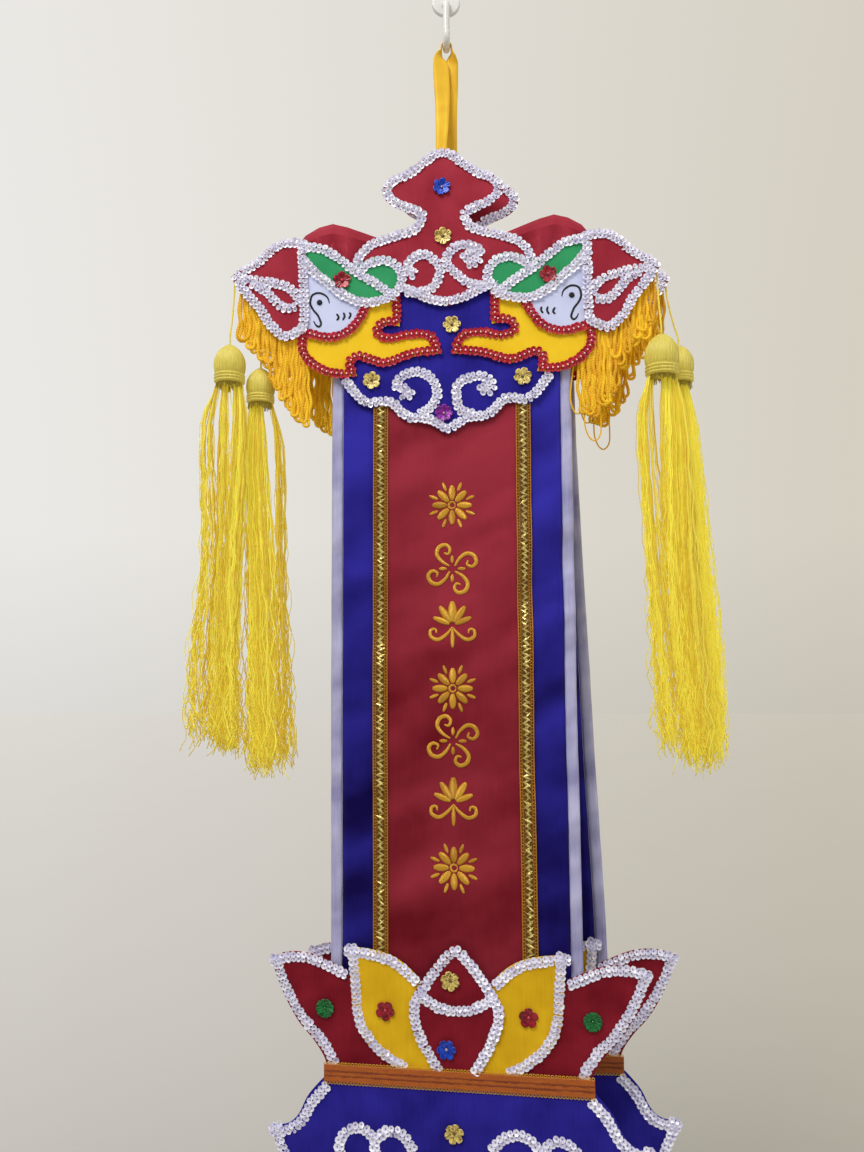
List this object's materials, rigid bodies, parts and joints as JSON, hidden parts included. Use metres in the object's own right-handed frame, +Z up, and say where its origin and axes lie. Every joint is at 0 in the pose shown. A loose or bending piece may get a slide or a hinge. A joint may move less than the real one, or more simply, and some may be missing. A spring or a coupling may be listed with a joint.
{
  "type": "buddhist temple banner on a wall hook",
  "caption": "Two-faced satin temple banner with beaded appliqué head, lotus and skirt, fringes and tassels, hung by a ribbon loop from a plain wall hook.",
  "frame": {"origin": "centre of the hook plate's flat back, on the wall", "axes": "+Z up along the banner, +Y into the wall, +X to the right seen from the room"},
  "size_m": [0.5124, 0.0921, 1.265],
  "materials": {
    "white_plastic": "smooth white",
    "loop_satin": "yellow satin ribbon",
    "red_satin": "red satin over a stiff board",
    "body_red_satin": "soft dark red satin",
    "blue_satin": "deep blue satin",
    "yellow_satin": "yellow satin over a stiff board",
    "green_satin": "green satin over a stiff board",
    "white_satin": "white satin over a stiff board",
    "lavender_binding": "pale lavender cloth binding",
    "gold_braid": "metallic gold braid",
    "orange_ribbon": "orange woven ribbon",
    "fringe_yarn": "looped orange-yellow yarn",
    "tassel_yarn": "glossy yellow thread"
  },
  "bodies": {
    "root": {"hook_plate": "white_plastic", "hook_arm": "white_plastic", "hanging_loop": "loop_satin", "canopy_left": "red_satin", "canopy_right": "red_satin", "front_ruyi": "red_satin", "front_lambrequin": "blue_satin", "front_crest_left": "green_satin", "front_crest_right": "green_satin", "front_face_left": "white_satin", "front_face_right": "white_satin", "front_mane_left": "red_satin", "front_mane_right": "red_satin", "front_beak_left": "yellow_satin", "front_beak_right": "yellow_satin", "front_body_cloth": "blue_satin", "front_body_centre": "body_red_satin", "front_braid_left": "gold_braid", "front_braid_right": "gold_braid", "front_binding_left": "lavender_binding", "front_binding_right": "lavender_binding", "front_petal_centre": "red_satin", "front_petal_inner_left": "yellow_satin", "front_petal_inner_right": "yellow_satin", "front_petal_outer_left": "red_satin", "front_petal_outer_right": "red_satin", "front_waist_ribbon": "orange_ribbon", "front_skirt": "blue_satin", "front_fringe_left": "fringe_yarn", "front_fringe_right": "fringe_yarn", "back_ruyi": "red_satin", "back_lambrequin": "blue_satin", "back_crest_left": "green_satin", "back_crest_right": "green_satin", "back_face_left": "white_satin", "back_face_right": "white_satin", "back_mane_left": "red_satin", "back_mane_right": "red_satin", "back_beak_left": "yellow_satin", "back_beak_right": "yellow_satin", "back_body_cloth": "blue_satin", "back_body_centre": "body_red_satin", "back_braid_left": "gold_braid", "back_braid_right": "gold_braid", "back_binding_left": "lavender_binding", "back_binding_right": "lavender_binding", "back_petal_centre": "red_satin", "back_petal_inner_left": "yellow_satin", "back_petal_inner_right": "yellow_satin", "back_petal_outer_left": "red_satin", "back_petal_outer_right": "red_satin", "back_waist_ribbon": "orange_ribbon", "back_skirt": "blue_satin", "back_fringe_left": "fringe_yarn", "back_fringe_right": "fringe_yarn", "tassel_front_left": "tassel_yarn", "tassel_back_left": "tassel_yarn", "tassel_front_right": "tassel_yarn", "tassel_back_right": "tassel_yarn"}
  },
  "joints": []
}
